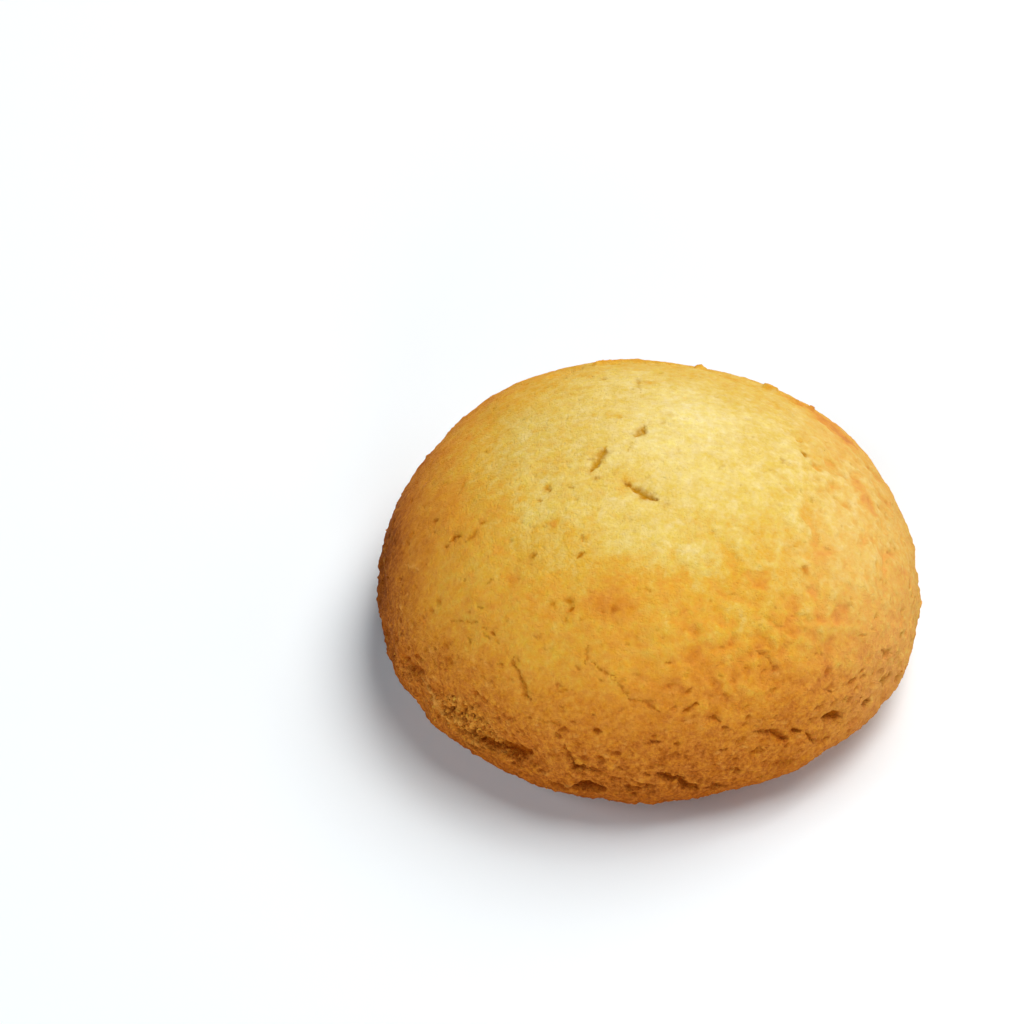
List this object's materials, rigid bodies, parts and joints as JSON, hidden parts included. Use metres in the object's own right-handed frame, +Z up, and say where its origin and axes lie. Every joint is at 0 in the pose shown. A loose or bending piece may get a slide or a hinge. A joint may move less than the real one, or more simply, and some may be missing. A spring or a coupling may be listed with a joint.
{
  "type": "round filled shortbread biscuit",
  "caption": "Whole round biscuit baked as a low dome, with a flat underside, a tucked-in rim broken into hollows, and small splits in its top.",
  "frame": {"origin": "centre of the underside, on the surface that the biscuit rests on", "axes": "+Z up through the dome; the front, which faces the viewer, is -Y; +X is to the viewer's right"},
  "size_m": [0.045, 0.0454, 0.021],
  "materials": {
    "crust": "matte"
  },
  "bodies": {
    "root": {"biscuit": "crust"}
  },
  "joints": []
}
